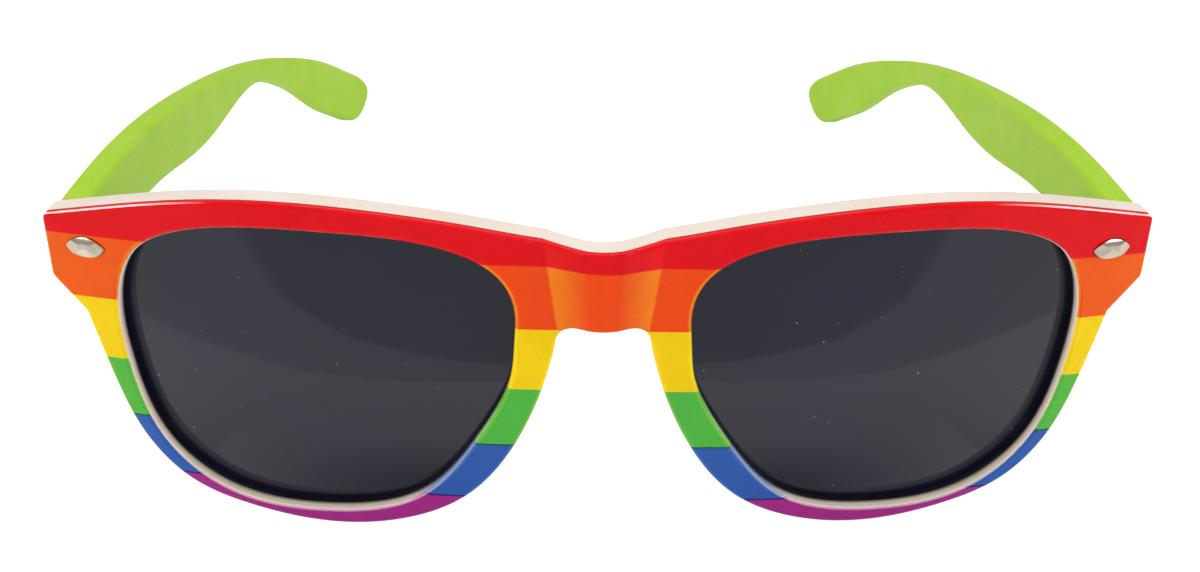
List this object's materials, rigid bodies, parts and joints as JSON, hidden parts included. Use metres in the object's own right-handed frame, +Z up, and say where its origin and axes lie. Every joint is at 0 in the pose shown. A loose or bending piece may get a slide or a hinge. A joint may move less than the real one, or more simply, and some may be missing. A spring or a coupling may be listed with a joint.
{
  "type": "novelty glasses",
  "caption": "Unfolded plastic glasses with dark smoked lenses, a striped wrapped face with a faceted bridge, rivet heads on the end pieces and hinged paddle-tipped arms.",
  "frame": {"origin": "on the plane that the rims and the ear tips rest on, under the middle of the unfolded glasses' box", "axes": "+X to the wearer's left, +Y from the lenses back to the ear tips, +Z up as the glasses stand on a table"},
  "size_m": [0.1478, 0.1588, 0.0502],
  "materials": {
    "cream_body": "polished",
    "printed_facing": "glossy, level rainbow stripes",
    "dark_lens": "glossy smoked plastic",
    "diffraction_film": "clear embossed film",
    "rivet_metal": "polished",
    "hinge_metal": "tumbled",
    "screw_metal": "turned",
    "green_temple": "satin moulded"
  },
  "bodies": {
    "front": {"front_frame": "cream_body", "front_facing": "printed_facing", "left_lens": "dark_lens", "left_diffraction_film": "diffraction_film", "left_rivet": "rivet_metal", "left_front_hinge_leaf": "hinge_metal", "left_hinge_screw": "screw_metal", "right_lens": "dark_lens", "right_diffraction_film": "diffraction_film", "right_rivet": "rivet_metal", "right_front_hinge_leaf": "hinge_metal", "right_hinge_screw": "screw_metal"},
    "left_arm": {"left_temple": "green_temple", "left_temple_hinge_leaf": "hinge_metal"},
    "right_arm": {"right_temple": "green_temple", "right_temple_hinge_leaf": "hinge_metal"}
  },
  "joints": [
    {"name": "left_arm_fold", "type": "hinge", "parent": "front", "child": "left_arm", "pos_m": [0.0675, -0.06292, 0.04151], "axis": [0, 0.1386, 0.9904], "range_deg": [0, 85]},
    {"name": "right_arm_fold", "type": "hinge", "parent": "front", "child": "right_arm", "pos_m": [-0.0675, -0.06292, 0.04151], "axis": [0, -0.1386, -0.9904], "range_deg": [0, 66]}
  ]
}
